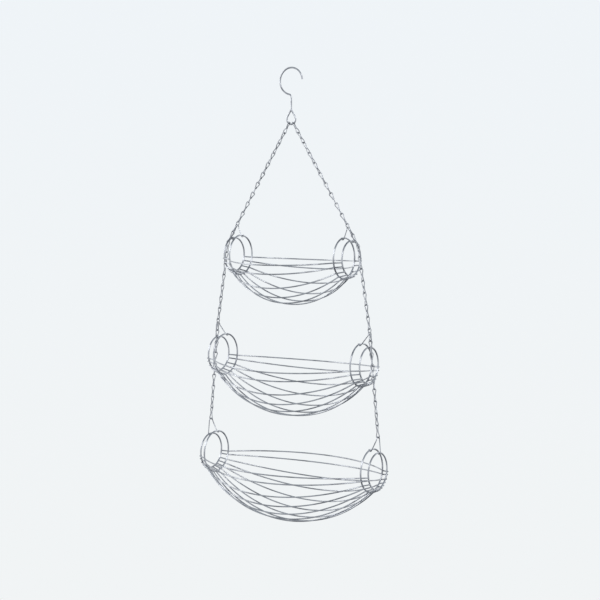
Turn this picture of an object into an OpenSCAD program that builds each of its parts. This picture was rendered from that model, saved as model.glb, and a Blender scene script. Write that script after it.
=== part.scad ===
// Hanging fruit basket: three wire hammock baskets on two jack chains under one hook.
// The origin is where the hook sits on its support, the inside of the bend. X runs along the baskets.

/* [Wire] */
// Diameter of the hook's wire
hook_wire_d = 2.6; // [2.2:0.1:2.8]
// Diameter of the wire of the end rings
ring_wire_d = 2.6; // [2.2:0.1:2.8]
// Diameter of the long rib wires
rib_wire_d = 2; // [1.6:0.1:2.2]
// Diameter of the chain's wire
chain_wire_d = 1.5; // [1.3:0.05:1.6]
// Diameter of the hangers' wire
hanger_wire_d = 1.6; // [1.3:0.05:1.7]

// How much a wire swells at a sharp kink
kink_swell = 0.12; // [0.08:0.01:0.2]

/* [Hook] */
// Radius of the hook's bend, to the middle of the wire
hook_bend_r = 21; // [18:0.5:26]
// Height of the open tip above the middle of the bend, as an angle
hook_tip_angle = 6; // [0:1:30]
// Radius of the small bend from the hook into its shank
hook_neck_r = 5; // [4:0.5:8]
// Length of the straight shank
shank_length = 19; // [12:1:40]
// Radius of the eye at the shank's foot, to the middle of the wire
hook_eye_r = 8.1; // [7:0.1:10]
// Distance from the shank's foot to the middle of the eye
hook_eye_drop = 15; // [13:0.5:20]

/* [Chain] */
// Distance from one link's seat to the next
link_pitch = 18.7; // [17:0.1:21]
// Radius of a link's eye, to the middle of the wire
link_eye_r = 2.65; // [2.5:0.05:2.9]
// Distance from the middle of the link to each of its two wires at the waist
waist_offset = 0.8; // [0.7:0.05:0.9]
// Height of the knot at the link's waist
waist_height = 2.6; // [2:0.1:3.2]
// Diameter of the knot at the link's waist
waist_d = 3.5; // [3.4:0.05:3.8]
// Play between two linked wires
link_play = 0.3; // [0.25:0.05:0.4]
// Angle of the upper chain from the vertical
upper_angle = 32.2; // [28:0.2:36]
// Angle of the middle chain from the vertical
middle_angle = 9.3; // [7:0.1:12]
// Angle of the lower chain from the vertical
lower_angle = 5.5; // [4:0.1:7]

/* [Hangers] */
// Half the distance between a hanger's two legs
hanger_half_gap = 4.5; // [4.4:0.1:5.5]
// Play between a hanger's foot and its ring
foot_play = 0.3; // [0.2:0.05:0.4]
// How far each foot hooks round past the underside of its ring
foot_wrap_angle = 110; // [90:5:150]

/* [Baskets] */
// Height of the ring centres of the top, middle and bottom basket
ring_z = [-296, -460.5, -624.5]; // [-640:0.5:-290]
// Half the length between the outer rings of each basket
outer_x = [111.5, 144, 160.5]; // [100:0.5:170]
// Distance from the outer ring to the inner ring of each basket
ring_gap = [13, 14, 10.8]; // [9:0.2:16]
// Radius of the outer rings of each basket, to the middle of the wire
outer_ring_r = [27.5, 28.3, 28.7]; // [26:0.1:30]
// Radius of the inner rings of each basket, to the middle of the wire
inner_ring_r = [31.5, 33, 33.5]; // [31:0.1:35]
// Half the width of each basket at mid-span
half_width = [84, 82, 94]; // [75:1:100]
// How far the rim lies below the ring centres at mid-span
rim_drop = [9.5, 11.5, 6]; // [4:0.5:16]
// Depth of each basket from its rim to its lowest rib
bowl_depth = [67, 79, 91]; // [60:1:96]
// Fullness of the bowl's section: 2 is an ellipse, less is closer to a V
bowl_power = 1.8; // [1.6:0.05:2.2]
// Ribs of each basket, rims included
rib_count = [11, 13, 15]; // [9:2:15]
// Angle of the rim's weld below the ring's widest point
rim_angle = 10; // [4:1:16]
// Gap from the rim to the next rib, as a share of the gap between the other ribs
rim_gap_share = 0.8; // [0.7:0.05:1]
// How far a weld lets two wires sink into each other
weld_depth = 0.15; // [0.1:0.01:0.2]
// How far a rib's end reaches past the outer ring
rib_end_reach = 1.8; // [1.4:0.1:2.2]

/* [Hidden] */

// The three baskets, as places in the lists above
TOP = 0;
MIDDLE = 1;
BOTTOM = 2;
// Sides of the frame on rings, bends and wires
wire_fn = 24;
bend_fn = 96;
// Flat sides of a rib's wire, and straight steps along its arc
rib_sides = 8;
rib_arc_steps = 20;

// Numbers of links: the first link hangs in the hook's eye, and the counts are for one side
first_links = 1;
upper_links = 11;
middle_links = 1;
middle_chain_links = 6;
tie_links = 1;
lower_links = 1;
lower_chain_links = 7;
// First link of each run, counted from the hook
middle_start = first_links + upper_links;
chain_start = middle_start + middle_links;
tie_start = chain_start + middle_chain_links;
lower_start = tie_start + tie_links;
lower_chain_start = lower_start + lower_links;
link_total = lower_chain_start + lower_chain_links;
// The link that holds the top basket's hangers
top_hang_link = 10;

// Distances along a link, from the middle of the wire at its top
wire_centres = chain_wire_d + link_play;
link_length = link_pitch + wire_centres;
eye_to_waist = link_length / 2 - link_eye_r;
eye_tangent = asin(link_eye_r / norm([waist_offset, eye_to_waist])) - atan2(waist_offset, eye_to_waist);
leg_top_x = link_eye_r * cos(eye_tangent);
leg_top_z = link_eye_r * (1 + sin(eye_tangent));
leg_run = link_length / 2 - leg_top_z;
leg_slope = (leg_top_x - waist_offset) / leg_run;
// Where a hanger's wire comes to rest between the two legs of a link's upper eye
notch_half = (chain_wire_d / 2 + hanger_wire_d / 2 + link_play) * sqrt(1 + leg_slope * leg_slope);
notch_drop = leg_top_z + (leg_top_x - notch_half) / leg_slope;
// Where a hanger's wire comes to rest in the last link's lower eye
end_drop = link_length - chain_wire_d / 2 - hanger_wire_d / 2 - link_play;

// The hook, from its seat down
bend_z = hook_wire_d / 2 - hook_bend_r;
neck_angle = acos(hook_neck_r / (hook_bend_r + hook_neck_r));
neck_z = bend_z - (hook_bend_r + hook_neck_r) * sin(neck_angle);
shank_foot_z = neck_z - shank_length;
hook_eye_z = shank_foot_z - hook_eye_drop;
hook_eye_tangent = asin(hook_eye_r / hook_eye_drop);
first_seat = hook_eye_r - hook_wire_d / 2 - chain_wire_d / 2 - link_play;

// Places on the chain, in the X-Z plane, for the right side
function along(angle) = [sin(angle), -cos(angle)];
function link_angle(i) = i < middle_start ? upper_angle : i < tie_start ? middle_angle : lower_angle;
// A link hangs by the same play in the lower eye of the one before it, whatever the angle between the two
function link_top(i) =
    i == 0 ? [0, hook_eye_z] + first_seat * along(upper_angle)
    : link_top(i - 1) + link_length * along(link_angle(i - 1)) - wire_centres * along(link_angle(i));
// A link's turn about its own length: the chain twists a quarter turn at its top and at its bottom
function link_turn(i) =
    i < top_hang_link ? 90 * (1 - i / top_hang_link)
    : i <= tie_start ? 0
    : 90 * (i - tie_start) / (link_total - 1 - tie_start);
function hang_link(tier) = tier == TOP ? top_hang_link : tier == MIDDLE ? tie_start : link_total - 1;
function hang_drop(tier) = tier == BOTTOM ? end_drop : notch_drop;
function hang_point(tier) = link_top(hang_link(tier)) + hang_drop(tier) * along(link_angle(hang_link(tier)));

// Baskets
function inner_x(tier) = outer_x[tier] - ring_gap[tier];
rib_offset = ring_wire_d / 2 + rib_wire_d / 2 - weld_depth;
foot_r = ring_wire_d / 2 + hanger_wire_d / 2 + foot_play;
// Ribs on each side of the lowest one that count as the bottom group
bottom_group = [1, 1, 2];
// A rib's share of the way round from the front rim, 0, to the lowest rib, 1, to the back rim, 2
function rib_share(tier, j) = let (
        half = (rib_count[tier] - 1) / 2,
        from_rim = min(j, 2 * half - j),
        share = (from_rim == 1 ? rim_gap_share : from_rim) / half
    ) j <= half ? share : 2 - share;
// Direction from the ring centre, from -Y down and round to +Y
function weld_angle(tier, j) = rim_angle + (180 - 2 * rim_angle) * rib_share(tier, j) / 2;
function weld_point(tier, j, ring_r) = let (
        a = weld_angle(tier, j),
        r = ring_r + rib_offset
    ) [-r * cos(a), ring_z[tier] - r * sin(a)];
function signed_power(v, p) = sign(v) * pow(abs(v), p);
function mid_point(tier, j) = let (a = 90 * rib_share(tier, j)) [
        -half_width[tier] * signed_power(cos(a), 2 / bowl_power),
        ring_z[tier] - rim_drop[tier] - bowl_depth[tier] * pow(abs(sin(a)), 2 / bowl_power)
    ];

// A straight wire from one point to another
module rod(from, to, d) {
    v = to - from;
    translate(from)
        rotate([0, acos(v[2] / norm(v)), atan2(v[1], v[0])])
            cylinder(h = norm(v), d = d, $fn = wire_fn);
}

// A bent wire in the X-Z plane, between two angles counted from +X towards +Z
module bend(centre, r, from, to, d) {
    translate([centre[0], 0, centre[1]])
        rotate([90, 0, 0])
            rotate([0, 0, from])
                rotate_extrude(angle = to - from, $fn = bend_fn)
                    translate([r, 0])
                        circle(d = d, $fn = wire_fn);
}

// The slight swelling where a wire is bent, or one bend runs into the next
module kink(at, d) {
    translate(at)
        sphere(d = d + kink_swell, $fn = wire_fn);
}

module on_left() {
    rotate([0, 0, 180])
        children();
}

module hook() {
    color("silver") {
        bend([0, bend_z], hook_bend_r, hook_tip_angle, 180 + neck_angle, hook_wire_d);
        kink([-hook_neck_r * (1 - cos(neck_angle)), 0, neck_z + hook_neck_r * sin(neck_angle)], hook_wire_d);
        bend([-hook_neck_r, neck_z], hook_neck_r, 0, neck_angle, hook_wire_d);
        kink([0, 0, neck_z], hook_wire_d);
        rod([0, 0, neck_z], [0, 0, shank_foot_z], hook_wire_d);
        kink([0, 0, shank_foot_z], hook_wire_d);
        for (side = [-1, 1]) {
            eye_shoulder = [
                side * hook_eye_r * cos(hook_eye_tangent),
                0,
                hook_eye_z + hook_eye_r * sin(hook_eye_tangent)
            ];
            rod([0, 0, shank_foot_z], eye_shoulder, hook_wire_d);
            kink(eye_shoulder, hook_wire_d);
        }
        bend([0, hook_eye_z], hook_eye_r, 180 - hook_eye_tangent, 360 + hook_eye_tangent, hook_wire_d);
    }
}

// One eye of a link: its top at the origin, its legs down to the link's waist
module link_eye() {
    bend([0, -link_eye_r], link_eye_r, -eye_tangent, 180 + eye_tangent, chain_wire_d);
    for (side = [-1, 1]) {
        rod([side * leg_top_x, 0, -leg_top_z], [side * waist_offset, 0, -link_length / 2], chain_wire_d);
        kink([side * leg_top_x, 0, -leg_top_z], chain_wire_d);
    }
}

// A jack chain link: two eyes a quarter turn apart, joined at a knot
module chain_link() {
    link_eye();
    translate([0, 0, -link_length])
        rotate([180, 0, 90])
            link_eye();
    translate([0, 0, -link_length / 2])
        cylinder(h = waist_height, d = waist_d, center = true, $fn = wire_fn);
}

module chain_run(first, count) {
    color("silver")
        for (i = [first : first + count - 1])
            translate([link_top(i)[0], 0, link_top(i)[1]])
                rotate([0, -link_angle(i), 0])
                    rotate([0, 0, link_turn(i)])
                        chain_link();
}

// One leg of a hanger, with the foot that hooks under a ring, in the X-Z plane
module hanger_leg(from, ring_x, ring_top) {
    to_leg = from - [ring_x, ring_top];
    tangent = atan2(to_leg[1], to_leg[0]) - acos(foot_r / norm(to_leg));
    instep = [ring_x + foot_r * cos(tangent), 0, ring_top + foot_r * sin(tangent)];
    kink([from[0], 0, from[1]], hanger_wire_d);
    rod([from[0], 0, from[1]], instep, hanger_wire_d);
    kink(instep, hanger_wire_d);
    bend([ring_x, ring_top], foot_r, -90 - foot_wrap_angle, tangent, hanger_wire_d);
}

// A wire bent like a hairpin over the chain: the front leg holds the inner ring, the back leg the outer one
module hanger(tier) {
    top = hang_point(tier);
    shoulder = top - [0, hanger_half_gap];
    inner_top = ring_z[tier] + sqrt(pow(inner_ring_r[tier], 2) - pow(hanger_half_gap, 2));
    outer_top = ring_z[tier] + sqrt(pow(outer_ring_r[tier], 2) - pow(hanger_half_gap, 2));
    color("silver") {
        translate([top[0], 0, 0])
            rotate([0, 0, 90])
                bend([0, shoulder[1]], hanger_half_gap, 0, 180, hanger_wire_d);
        translate([0, -hanger_half_gap, 0])
            hanger_leg(shoulder, inner_x(tier), inner_top);
        translate([0, hanger_half_gap, 0])
            hanger_leg(shoulder, outer_x[tier], outer_top);
    }
}

module ring(x, z, r) {
    color("gainsboro")
        translate([x, 0, z])
            rotate([0, 90, 0])
                rotate_extrude($fn = bend_fn)
                    translate([r, 0])
                        circle(d = ring_wire_d, $fn = wire_fn);
}

module outer_ring(tier) {
    ring(outer_x[tier], ring_z[tier], outer_ring_r[tier]);
}

module inner_ring(tier) {
    ring(inner_x(tier), ring_z[tier], inner_ring_r[tier]);
}

// Middle line of a rib: one arc between the inner rings, and a straight stretch on past each outer ring
function rib_path(tier, j) = let (
        x = inner_x(tier),
        weld = weld_point(tier, j, inner_ring_r[tier]),
        end = weld_point(tier, j, outer_ring_r[tier]),
        mid = mid_point(tier, j),
        sag = norm(mid - weld),
        out = (mid - weld) / sag,
        arc_r = (x * x + sag * sag) / (2 * sag),
        half_angle = asin(x / arc_r),
        reach = (ring_gap[tier] + rib_end_reach) / ring_gap[tier],
        tip = weld + reach * (end - weld),
        tip_x = x + ring_gap[tier] * reach
    ) [
        [-tip_x, tip[0], tip[1]],
        for (step = [0 : rib_arc_steps])
            let (
                a = half_angle * (2 * step / rib_arc_steps - 1),
                spot = mid - arc_r * (1 - cos(a)) * out
            ) [arc_r * sin(a), spot[0], spot[1]],
        [tip_x, tip[0], tip[1]]
    ];

function unit(v) = v / norm(v);

// Corners of a wire's outline at each point of its path, cut square at the ends and mitred between them
function wire_rings(path, d) = let (
        first_way = unit(path[1] - path[0]),
        side = unit(cross(first_way, [0, 0, 1])),
        lift = cross(side, first_way),
        start = [
            for (k = [0 : rib_sides - 1])
                let (a = 360 * (k + 0.5) / rib_sides)
                path[0] + d / 2 * (cos(a) * side + sin(a) * lift)
        ]
    ) [
        for (
            i = 0, ring = start;
            i < len(path);
            i = i + 1,
            way = i < len(path) ? unit(path[i] - path[i - 1]) : undef,
            onward = i < len(path) - 1 ? unit(path[i + 1] - path[i]) : way,
            ring = i < len(path)
                ? [for (q = ring) q + way * ((path[i] - q) * (way + onward)) / (way * (way + onward))]
                : undef
        ) ring
    ];

// A wire of flat faces along a path
module faceted_wire(path, d) {
    last = (len(path) - 1) * rib_sides;
    polyhedron(
        points = [for (ring = wire_rings(path, d)) each ring],
        faces = [
            [for (k = [0 : rib_sides - 1]) k],
            for (i = [0 : len(path) - 2], k = [0 : rib_sides - 1])
                let (here = i * rib_sides, next = (k + 1) % rib_sides)
                [here + k, here + rib_sides + k, here + rib_sides + next, here + next],
            [for (k = [0 : rib_sides - 1]) last + rib_sides - 1 - k]
        ]
    );
}

module ribs(tier, first, last) {
    color("gainsboro")
        for (j = [first : last])
            faceted_wire(rib_path(tier, j), rib_wire_d);
}

module rim_front(tier) {
    ribs(tier, 0, 0);
}

module ribs_front(tier) {
    ribs(tier, 1, (rib_count[tier] - 1) / 2 - bottom_group[tier] - 1);
}

module ribs_bottom(tier) {
    lowest = (rib_count[tier] - 1) / 2;
    ribs(tier, lowest - bottom_group[tier], lowest + bottom_group[tier]);
}

module ribs_back(tier) {
    ribs(tier, (rib_count[tier] - 1) / 2 + bottom_group[tier] + 1, rib_count[tier] - 2);
}

module rim_back(tier) {
    ribs(tier, rib_count[tier] - 1, rib_count[tier] - 1);
}

hook();

on_left() chain_run(0, first_links);  // first_link_left
chain_run(0, first_links);  // first_link_right
on_left() chain_run(first_links, upper_links);  // upper_chain_left
chain_run(first_links, upper_links);  // upper_chain_right
on_left() chain_run(middle_start, middle_links);  // middle_link_left
chain_run(middle_start, middle_links);  // middle_link_right
on_left() chain_run(chain_start, middle_chain_links);  // middle_chain_left
chain_run(chain_start, middle_chain_links);  // middle_chain_right
on_left() chain_run(tie_start, tie_links);  // tie_link_left
chain_run(tie_start, tie_links);  // tie_link_right
on_left() chain_run(lower_start, lower_links);  // lower_link_left
chain_run(lower_start, lower_links);  // lower_link_right
on_left() chain_run(lower_chain_start, lower_chain_links);  // lower_chain_left
chain_run(lower_chain_start, lower_chain_links);  // lower_chain_right

on_left() hanger(TOP);  // top_hanger_left
hanger(TOP);  // top_hanger_right
on_left() hanger(MIDDLE);  // middle_hanger_left
hanger(MIDDLE);  // middle_hanger_right
on_left() hanger(BOTTOM);  // bottom_hanger_left
hanger(BOTTOM);  // bottom_hanger_right

on_left() outer_ring(TOP);  // top_outer_ring_left
on_left() inner_ring(TOP);  // top_inner_ring_left
inner_ring(TOP);  // top_inner_ring_right
outer_ring(TOP);  // top_outer_ring_right
on_left() outer_ring(MIDDLE);  // middle_outer_ring_left
on_left() inner_ring(MIDDLE);  // middle_inner_ring_left
inner_ring(MIDDLE);  // middle_inner_ring_right
outer_ring(MIDDLE);  // middle_outer_ring_right
on_left() outer_ring(BOTTOM);  // bottom_outer_ring_left
on_left() inner_ring(BOTTOM);  // bottom_inner_ring_left
inner_ring(BOTTOM);  // bottom_inner_ring_right
outer_ring(BOTTOM);  // bottom_outer_ring_right

rim_front(TOP);  // top_rim_front
ribs_front(TOP);  // top_ribs_front
ribs_bottom(TOP);  // top_ribs_bottom
ribs_back(TOP);  // top_ribs_back
rim_back(TOP);  // top_rim_back
rim_front(MIDDLE);  // middle_rim_front
ribs_front(MIDDLE);  // middle_ribs_front
ribs_bottom(MIDDLE);  // middle_ribs_bottom
ribs_back(MIDDLE);  // middle_ribs_back
rim_back(MIDDLE);  // middle_rim_back
rim_front(BOTTOM);  // bottom_rim_front
ribs_front(BOTTOM);  // bottom_ribs_front
ribs_bottom(BOTTOM);  // bottom_ribs_bottom
ribs_back(BOTTOM);  // bottom_ribs_back
rim_back(BOTTOM);  // bottom_rim_back
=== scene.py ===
"""Hanging fruit basket: the finish of its plated wires, its smooth ribs and weld nuggets, and the room round it."""

import logging
import math
from dataclasses import dataclass
from enum import Enum

import bmesh
import bpy
from mathutils import Matrix, Vector, noise


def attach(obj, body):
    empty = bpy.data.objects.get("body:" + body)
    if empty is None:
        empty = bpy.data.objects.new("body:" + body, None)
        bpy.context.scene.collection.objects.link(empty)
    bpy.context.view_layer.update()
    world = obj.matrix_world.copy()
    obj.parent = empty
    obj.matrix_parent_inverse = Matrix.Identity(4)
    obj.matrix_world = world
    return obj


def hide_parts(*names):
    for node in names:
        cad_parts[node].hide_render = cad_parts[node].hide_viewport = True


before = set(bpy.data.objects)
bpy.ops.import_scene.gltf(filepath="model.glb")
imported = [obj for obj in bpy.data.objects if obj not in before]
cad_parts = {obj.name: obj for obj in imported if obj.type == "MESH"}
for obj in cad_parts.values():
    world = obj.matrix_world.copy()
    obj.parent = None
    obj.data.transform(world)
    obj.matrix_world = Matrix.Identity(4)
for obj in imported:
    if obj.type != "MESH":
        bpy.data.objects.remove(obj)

LOG = logging.getLogger("hanging_basket")
MM = 0.001
# Where the two rows of a wire's domed end lie, as angles up the dome
DOME_ANGLES = (math.radians(32), math.radians(62))


class Tier(Enum):
    """The three baskets, by the word that their nodes start with."""

    TOP = "top"
    MIDDLE = "middle"
    BOTTOM = "bottom"


class Wire(Enum):
    """The kinds of wire, by the record's material slot."""

    HOOK = "hook_wire"
    CHAIN = "chain_wire"
    HANGER = "hanger_wire"
    BASKET = "basket_wire"


def linear(hex_colour: str) -> tuple[float, float, float, float]:
    """Turns an sRGB hex colour into the linear values that a shader takes.

    Args:
        hex_colour: six hex digits after a hash sign.

    Returns:
        Linear red, green and blue, and an alpha of 1.
    """
    shares = [int(hex_colour[i : i + 2], 16) / 255 for i in (1, 3, 5)]
    red, green, blue = (s / 12.92 if s <= 0.04045 else ((s + 0.055) / 1.055) ** 2.4 for s in shares)
    return (red, green, blue, 1.0)


def add_node(
    tree: bpy.types.NodeTree,
    kind: str,
    settings: dict[str, object] | None = None,
    values: dict[str | int, object] | None = None,
    links: dict[str | int, bpy.types.NodeSocket] | None = None,
) -> bpy.types.Node:
    """Adds one shader node with its settings, its socket values and its incoming links.

    Args:
        tree: the node tree of a material or of the world.
        kind: the node's type name.
        settings: attributes of the node itself.
        values: input sockets by name or place, and the values they get.
        links: input sockets by name or place, and the outputs that feed them.

    Returns:
        The new node.
    """
    node = tree.nodes.new(kind)
    for name, value in (settings or {}).items():
        setattr(node, name, value)
    for name, value in (values or {}).items():
        node.inputs[name].default_value = value
    for name, source in (links or {}).items():
        tree.links.new(source, node.inputs[name])
    return node


@dataclass(frozen=True)
class PlatedSteel:
    """Bright chrome plate on cold-drawn steel wire.

    The plate is mirror bright, and so thin that it keeps the faint lengthwise ripple of the drawn wire under it.
    That ripple breaks the long highlights into short, slightly wavering lines.
    """

    name: str
    plate: str = "#bdbfc4"
    dull_plate: str = "#86888e"
    roughness_bright: float = 0.10
    roughness_dull: float = 0.26
    ripple_mm: float = 2.2
    ripple_height_mm: float = 0.03
    ripple_strength: float = 0.35
    bloom_mm: float = 14.0
    dull_below: float = 0.34
    bright_above: float = 0.56

    def make(self) -> bpy.types.Material:
        """Builds the material.

        Returns:
            A new material whose colour, roughness and bump vary over the wire.
        """
        material = bpy.data.materials.new(self.name)
        material.use_nodes = True
        tree = material.node_tree
        shader = tree.nodes["Principled BSDF"]
        shader.inputs["Metallic"].default_value = 1.0
        place = add_node(tree, "ShaderNodeTexCoord").outputs["Object"]
        # A cloudy bloom where the plate is a little duller, a hand's breadth of wire apart
        bloom = add_node(
            tree,
            "ShaderNodeTexNoise",
            values={"Scale": 1 / (self.bloom_mm * MM), "Detail": 3.0, "Roughness": 0.55},
            links={"Vector": place},
        )
        ripple = add_node(
            tree,
            "ShaderNodeTexNoise",
            values={"Scale": 1 / (self.ripple_mm * MM), "Detail": 2.0, "Roughness": 0.5},
            links={"Vector": place},
        )
        colour = add_node(tree, "ShaderNodeValToRGB", links={"Fac": bloom.outputs["Fac"]})
        colour.color_ramp.elements[0].position = self.dull_below
        colour.color_ramp.elements[0].color = linear(self.dull_plate)
        colour.color_ramp.elements[1].position = self.bright_above
        colour.color_ramp.elements[1].color = linear(self.plate)
        rough = add_node(
            tree,
            "ShaderNodeMapRange",
            values={
                "From Min": 0.3,
                "From Max": 0.7,
                "To Min": self.roughness_dull,
                "To Max": self.roughness_bright,
            },
            links={"Value": bloom.outputs["Fac"]},
        )
        bump = add_node(
            tree,
            "ShaderNodeBump",
            values={"Strength": self.ripple_strength, "Distance": self.ripple_height_mm * MM},
            links={"Height": ripple.outputs["Fac"]},
        )
        tree.links.new(colour.outputs["Color"], shader.inputs["Base Color"])
        tree.links.new(rough.outputs["Result"], shader.inputs["Roughness"])
        tree.links.new(bump.outputs["Normal"], shader.inputs["Normal"])
        return material


@dataclass(frozen=True)
class RoomTone:
    """A tone of the room round the object, at one angle above or below the level."""

    elevation: float
    colour: str

    @property
    def height(self) -> float:
        """The tone's place between straight down, 0, and straight up, 1."""
        return (math.sin(math.radians(self.elevation)) + 1) / 2


ROOM = (
    RoomTone(-52.0, "#6f757b"),
    RoomTone(-19.0, "#f1f4f5"),
    RoomTone(14.0, "#eff4f8"),
    RoomTone(50.0, "#b2bac1"),
)

FINISHES: dict[Wire, PlatedSteel] = {
    Wire.HOOK: PlatedSteel("hook_chrome_plate", roughness_bright=0.08),
    Wire.CHAIN: PlatedSteel("chain_chrome_plate", plate="#b1b3b8", roughness_dull=0.32, bloom_mm=9.0),
    Wire.HANGER: PlatedSteel("hanger_chrome_plate", plate="#b8babf"),
    Wire.BASKET: PlatedSteel("basket_chrome_plate", bloom_mm=22.0),
}


def dress(node: str, material: bpy.types.Material) -> None:
    """Puts one material on a CAD node's every slot.

    Args:
        node: the node's name.
        material: what it is to wear.
    """
    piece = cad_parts[node]
    if not piece.material_slots:
        piece.data.materials.append(material)
    for place in piece.material_slots:
        place.material = material


def sweep(path: list[Vector], radius: float, into: bmesh.types.BMesh, sides: int = 14) -> None:
    """Sweeps a round wire with domed ends along a path and adds it to a mesh.

    Args:
        path: the wire's middle line, in metres.
        radius: the wire's radius, in metres.
        into: the mesh that takes the wire.
        sides: how many faces go round the wire.
    """
    ways = [(b - a).normalized() for a, b in zip(path, path[1:])]
    along = [ways[0]] + [(a + b).normalized() for a, b in zip(ways, ways[1:])] + [ways[-1]]
    side = along[0].orthogonal().normalized()
    rows: list[tuple[Vector, Vector, float]] = []
    for spot, way in zip(path, along):
        side = (side - way * side.dot(way)).normalized()
        rows.append((spot, side.copy(), radius))
    dome = [(math.sin(a), math.cos(a)) for a in DOME_ANGLES]
    head = [(path[0] - along[0] * radius * out, rows[0][1], radius * wide) for out, wide in reversed(dome)]
    tail = [(path[-1] + along[-1] * radius * out, rows[-1][1], radius * wide) for out, wide in dome]
    ways_all = [along[0]] * len(head) + along + [along[-1]] * len(tail)
    rings: list[list[bmesh.types.BMVert]] = []
    for (spot, edge, wide), way in zip(head + rows + tail, ways_all):
        lift = way.cross(edge)
        turns = (2 * math.pi * k / sides for k in range(sides))
        rings.append([into.verts.new(spot + (edge * math.cos(t) + lift * math.sin(t)) * wide) for t in turns])
    for one, two in zip(rings, rings[1:]):
        for k in range(sides):
            nxt = (k + 1) % sides
            into.faces.new((one[k], one[nxt], two[nxt], two[k]))
    into.faces.new(list(reversed(rings[0])))
    into.faces.new(rings[-1])


def as_piece(name: str, form: bmesh.types.BMesh, material: bpy.types.Material) -> bpy.types.Object:
    """Turns a form into a smooth-shaded object.

    Args:
        name: the piece's name.
        form: the form, which is freed.
        material: its finish.

    Returns:
        The new object, linked into the scene.
    """
    mesh = bpy.data.meshes.new(name)
    form.to_mesh(mesh)
    form.free()
    for face in mesh.polygons:
        face.use_smooth = True
    mesh.materials.append(material)
    piece = bpy.data.objects.new(name, mesh)
    bpy.context.collection.objects.link(piece)
    return piece


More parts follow.
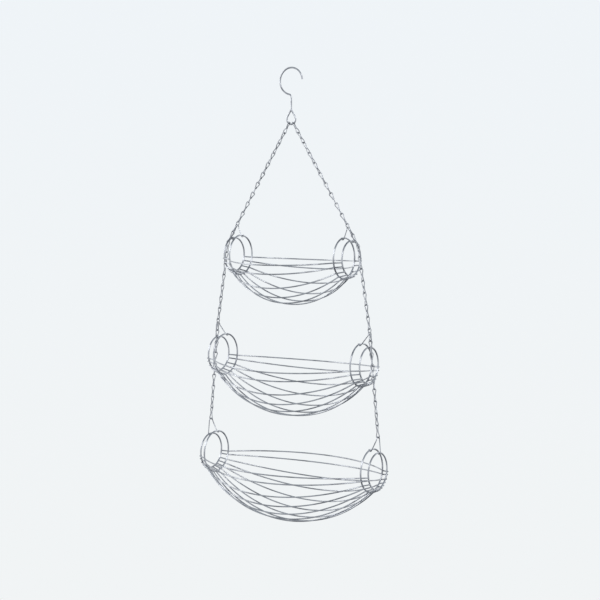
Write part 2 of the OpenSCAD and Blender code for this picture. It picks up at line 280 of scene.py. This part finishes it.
@dataclass
class Basket:
    """One basket: two rings at each end, ribs bowed between them, and a weld where each rib crosses each ring.

    The sizes are those of the wires' middle lines, in millimetres.
    """

    tier: Tier
    ring_centre_z: float
    outer_x: float
    ring_gap: float
    outer_ring_r: float
    inner_ring_r: float
    half_width: float
    rim_drop: float
    bowl_depth: float
    rib_count: int
    bottom_group: int
    bowl_power: float = 1.8
    rim_angle: float = 10.0
    rim_gap_share: float = 0.8
    ring_wire_d: float = 2.6
    rib_wire_d: float = 2.0
    weld_depth: float = 0.15
    # The dome on a rib's end takes up the last part of its reach past the outer ring
    rib_end_reach: float = 1.1
    elbow_mm: float = 1.4
    elbow_steps: int = 5
    arc_steps: int = 44
    nugget_mm: tuple[float, float, float] = (1.5, 1.2, 0.75)
    nugget_bulge: float = 0.16
    bulge_pace: float = 1.7
    bulge_shift: float = 900.0

    @property
    def inner_x(self) -> float:
        """Half the length between the inner rings."""
        return self.outer_x - self.ring_gap

    def ring_nodes(self) -> list[str]:
        """Lists the basket's ring nodes."""
        word = self.tier.value
        return [f"{word}_{ring}_ring_{side}" for ring in ("outer", "inner") for side in ("left", "right")]

    def rib_nodes(self) -> dict[str, range]:
        """Gives each rib node and the ribs that it holds, counted from the front rim."""
        word = self.tier.value
        last = self.rib_count - 1
        lowest = last // 2
        first_low, last_low = lowest - self.bottom_group, lowest + self.bottom_group
        return {
            f"{word}_rim_front": range(0, 1),
            f"{word}_ribs_front": range(1, first_low),
            f"{word}_ribs_bottom": range(first_low, last_low + 1),
            f"{word}_ribs_back": range(last_low + 1, last),
            f"{word}_rim_back": range(last, last + 1),
        }

    def share(self, rib: int) -> float:
        """Gives a rib's share of the way round: 0 at the front rim, 1 at the lowest rib, 2 at the back rim.

        Args:
            rib: the rib's place, counted from the front rim.

        Returns:
            The share.
        """
        half = (self.rib_count - 1) / 2
        from_rim = min(rib, 2 * half - rib)
        share = (self.rim_gap_share if from_rim == 1 else from_rim) / half
        return 2 - share if rib > half else share

    def weld_angle(self, rib: int) -> float:
        """Gives the direction of a rib's weld from the ring's centre.

        Args:
            rib: the rib's place, counted from the front rim.

        Returns:
            The angle in radians, from -Y downwards.
        """
        return math.radians(self.rim_angle + (180 - 2 * self.rim_angle) * self.share(rib) / 2)

    def around_ring(self, rib: int, reach: float) -> Vector:
        """Gives a place in the plane of a ring, in the direction of a rib's weld.

        Args:
            rib: the rib's place, counted from the front rim.
            reach: how far the place lies from the ring's centre.

        Returns:
            Its Y and Z in millimetres.
        """
        angle = self.weld_angle(rib)
        return Vector((-reach * math.cos(angle), self.ring_centre_z - reach * math.sin(angle)))

    def rib_route(self, rib: int) -> list[Vector]:
        """Works out a rib's middle line, with a small elbow at each inner ring.

        Args:
            rib: the rib's place, counted from the front rim.

        Returns:
            Points in metres, from the left end to the right.
        """
        lift = self.ring_wire_d / 2 + self.rib_wire_d / 2 - self.weld_depth
        weld = self.around_ring(rib, self.inner_ring_r + lift)
        end = self.around_ring(rib, self.outer_ring_r + lift)
        angle = math.pi / 2 * self.share(rib)
        power = 2 / self.bowl_power
        across = math.copysign(abs(math.cos(angle)) ** power, math.cos(angle))
        down = abs(math.sin(angle)) ** power
        mid = Vector((-self.half_width * across, self.ring_centre_z - self.rim_drop - self.bowl_depth * down))
        sag = (mid - weld).length
        out = (mid - weld) / sag
        arc_r = (self.inner_x**2 + sag**2) / (2 * sag)
        half_angle = math.asin(self.inner_x / arc_r)
        reach = (self.ring_gap + self.rib_end_reach) / self.ring_gap
        tip = weld + reach * (end - weld)
        arc = []
        for step in range(self.arc_steps + 1):
            a = half_angle * (2 * step / self.arc_steps - 1)
            spot = mid - arc_r * (1 - math.cos(a)) * out
            arc.append(Vector((arc_r * math.sin(a), spot.x, spot.y)))
        tips = [Vector((side * (self.inner_x + self.ring_gap * reach), tip.x, tip.y)) for side in (-1, 1)]
        left = self.elbow(tips[0], arc[0], arc[1])
        right = self.elbow(arc[-2], arc[-1], tips[1])
        return [spot * MM for spot in [tips[0], *left, *arc[1:-1], *right, tips[1]]]

    def elbow(self, before: Vector, corner: Vector, after: Vector) -> list[Vector]:
        """Rounds one corner of a rib.

        Args:
            before: a place on the wire ahead of the corner.
            corner: the sharp corner.
            after: a place on the wire past the corner.

        Returns:
            Points round the corner.
        """
        start = corner + (before - corner).normalized() * self.elbow_mm
        stop = corner + (after - corner).normalized() * self.elbow_mm
        shares = [k / self.elbow_steps for k in range(self.elbow_steps + 1)]
        return [start * (1 - t) ** 2 + corner * (2 * t * (1 - t)) + stop * t**2 for t in shares]

    def build_ribs(self, node: str, ribs: range, material: bpy.types.Material) -> None:
        """Builds the ribs of one node as smooth round wires.

        Args:
            node: the rib node that the wires stand for.
            ribs: the ribs that it holds.
            material: the basket's plate.
        """
        wires = bmesh.new()
        for rib in ribs:
            sweep(self.rib_route(rib), self.rib_wire_d / 2 * MM, wires)
        piece = as_piece(f"{node}_wire", wires, material)
        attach(piece, f"{self.tier.value}_basket")
        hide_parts(node)
        LOG.info("built %s", piece.name)

    def build_welds(self, material: bpy.types.Material) -> None:
        """Builds the weld nuggets: low, uneven lumps pressed out on both sides of each crossing.

        Args:
            material: the plate that covers wires and welds alike.
        """
        lumps = bmesh.new()
        shape = Matrix.Diagonal([size * MM for size in self.nugget_mm])
        rings = ((self.outer_x, self.outer_ring_r), (self.inner_x, self.inner_ring_r))
        for rib in range(self.rib_count):
            turn = Matrix.Rotation(self.weld_angle(rib) - math.pi / 2, 3, "X")
            for x, ring_r in rings:
                spot = self.around_ring(rib, ring_r + self.ring_wire_d / 2)
                for side in (-1, 1):
                    place = Vector((side * x, spot.x, spot.y)) * MM
                    for point in bmesh.ops.create_icosphere(lumps, subdivisions=2, radius=1.0)["verts"]:
                        spread = noise.noise(point.co * self.bulge_pace + place * self.bulge_shift)
                        bulge = 1 + self.nugget_bulge * spread
                        point.co = place + turn @ (shape @ (point.co * bulge))
        piece = as_piece(f"{self.tier.value}_welds", lumps, material)
        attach(piece, f"{self.tier.value}_basket")
        LOG.info("built %s", piece.name)

    def make(self, material: bpy.types.Material) -> None:
        """Dresses the rings, and builds the ribs and the welds.

        Args:
            material: the basket's plate.
        """
        for node in self.ring_nodes():
            dress(node, material)
            LOG.info("dressed %s", node)
        for node, ribs in self.rib_nodes().items():
            self.build_ribs(node, ribs, material)
        self.build_welds(material)


@dataclass
class Suspension:
    """The hook, the two chains and the six hangers."""

    hanger_words: tuple[str, ...] = ("hanger",)
    chain_words: tuple[str, ...] = ("link", "chain")

    def wire_of(self, node: str) -> Wire | None:
        """Says which wire a node is bent from.

        Args:
            node: the node's name.

        Returns:
            The wire, or None for a basket's own pieces.
        """
        if node == "hook":
            return Wire.HOOK
        if any(word in node for word in self.hanger_words):
            return Wire.HANGER
        if any(word in node for word in self.chain_words):
            return Wire.CHAIN
        return None

    def make(self, materials: dict[Wire, bpy.types.Material]) -> None:
        """Dresses the hook, chains and hangers.

        Args:
            materials: each wire's plate.
        """
        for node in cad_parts:
            wire = self.wire_of(node)
            if wire is not None:
                dress(node, materials[wire])
                LOG.info("dressed %s", node)


@dataclass(frozen=True)
class Lamp:
    """A square soft lamp: where it stands and its side in metres, and its power in watts."""

    name: str
    place: tuple[float, float, float]
    size: float
    power: float


@dataclass
class Studio:
    """A pale room with a darker floor far below, soft lamps, and the camera at the photograph's viewing angle."""

    lamps: tuple[Lamp, ...] = (
        Lamp("key_lamp", (1.6, -1.9, 1.2), 1.4, 26),
        Lamp("side_lamp", (-2.1, -0.9, 0.5), 1.2, 13),
        Lamp("back_lamp", (0.4, 2.2, 0.9), 1.3, 9),
    )
    aim: tuple[float, float, float] = (0.0, 0.0, -0.37)

    camera_distance: float = 2.33
    camera_azimuth: float = 33.6
    camera_height: float = -0.1667
    # The camera dips a little and turns a little right, which frames the object as the photograph does
    dip: float = 4.88
    turn: float = 0.34
    lens: float = 88.02
    sensor: float = 36.0
    far_end: float = 30.0
    fill_colour: str = "#dfe4ea"
    fill_strength: float = 0.5

    def camera(self) -> None:
        """Sets up the camera."""
        azimuth = math.radians(self.camera_azimuth)
        data = bpy.data.cameras.new("camera")
        data.lens = self.lens
        data.sensor_width = self.sensor
        data.clip_end = self.far_end
        eye = bpy.data.objects.new("camera", data)
        eye.location = (
            self.camera_distance * math.sin(azimuth),
            -self.camera_distance * math.cos(azimuth),
            self.camera_height,
        )
        eye.rotation_euler = (math.radians(90 - self.dip), 0, azimuth - math.radians(self.turn))
        bpy.context.collection.objects.link(eye)
        bpy.context.scene.camera = eye

    def light(self, lamp: Lamp) -> None:
        """Adds one lamp, turned to the middle of the object.

        Args:
            lamp: the lamp.
        """
        data = bpy.data.lights.new(lamp.name, "AREA")
        data.size = lamp.size
        data.energy = lamp.power
        fitting = bpy.data.objects.new(lamp.name, data)
        fitting.location = lamp.place
        fitting.rotation_euler = (Vector(self.aim) - Vector(lamp.place)).to_track_quat("-Z", "Y").to_euler()
        bpy.context.collection.objects.link(fitting)

    def world(self) -> None:
        """Fills the shadows evenly, and shows the room's tones to the camera and in the plate."""
        world = bpy.data.worlds.new("studio")
        bpy.context.scene.world = world
        world.use_nodes = True
        tree = world.node_tree
        tree.nodes.clear()
        fill = add_node(
            tree,
            "ShaderNodeBackground",
            values={"Color": linear(self.fill_colour), "Strength": self.fill_strength},
        )
        way = add_node(tree, "ShaderNodeTexCoord").outputs["Generated"]
        height = add_node(tree, "ShaderNodeSeparateXYZ", links={"Vector": way})
        share = add_node(
            tree,
            "ShaderNodeMapRange",
            values={"From Min": -1.0, "From Max": 1.0},
            links={"Value": height.outputs["Z"]},
        )
        tones = add_node(tree, "ShaderNodeValToRGB", links={"Fac": share.outputs["Result"]})
        tones.color_ramp.interpolation = "EASE"
        stops = tones.color_ramp.elements
        while len(stops) < len(ROOM):
            stops.new(1.0)
        for stop, tone in zip(stops, ROOM):
            stop.position = tone.height
            stop.color = linear(tone.colour)
        room = add_node(tree, "ShaderNodeBackground", links={"Color": tones.outputs["Color"]})
        rays = add_node(tree, "ShaderNodeLightPath").outputs
        mirrored = add_node(
            tree,
            "ShaderNodeMath",
            settings={"operation": "MAXIMUM"},
            links={0: rays["Is Glossy Ray"], 1: rays["Is Transmission Ray"]},
        )
        seen = add_node(
            tree,
            "ShaderNodeMath",
            settings={"operation": "MAXIMUM"},
            links={0: rays["Is Camera Ray"], 1: mirrored.outputs["Value"]},
        )
        choice = add_node(
            tree,
            "ShaderNodeMixShader",
            links={"Fac": seen.outputs["Value"], 1: fill.outputs["Background"], 2: room.outputs["Background"]},
        )
        add_node(tree, "ShaderNodeOutputWorld", links={"Surface": choice.outputs["Shader"]})

    def make(self) -> None:
        """Builds the whole studio."""
        self.camera()
        for lamp in self.lamps:
            self.light(lamp)
        self.world()
        bpy.context.scene.view_settings.view_transform = "Standard"


BASKETS = (
    Basket(
        tier=Tier.TOP,
        ring_centre_z=-296.0,
        outer_x=111.5,
        ring_gap=13.0,
        outer_ring_r=27.5,
        inner_ring_r=31.5,
        half_width=84.0,
        rim_drop=9.5,
        bowl_depth=67.0,
        rib_count=11,
        bottom_group=1,
    ),
    Basket(
        tier=Tier.MIDDLE,
        ring_centre_z=-460.5,
        outer_x=144.0,
        ring_gap=14.0,
        outer_ring_r=28.3,
        inner_ring_r=33.0,
        half_width=82.0,
        rim_drop=11.5,
        bowl_depth=79.0,
        rib_count=13,
        bottom_group=1,
    ),
    Basket(
        tier=Tier.BOTTOM,
        ring_centre_z=-624.5,
        outer_x=160.5,
        ring_gap=10.8,
        outer_ring_r=28.7,
        inner_ring_r=33.5,
        half_width=94.0,
        rim_drop=6.0,
        bowl_depth=91.0,
        rib_count=15,
        bottom_group=2,
    ),
)


def main() -> None:
    """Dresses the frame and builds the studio."""
    logging.basicConfig(level=logging.INFO, format="%(name)s: %(message)s")
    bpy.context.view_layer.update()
    Studio().make()
    materials = {wire: finish.make() for wire, finish in FINISHES.items()}
    Suspension().make(materials)
    for basket in BASKETS:
        basket.make(materials[Wire.BASKET])


if __name__ == "__main__":
    main()
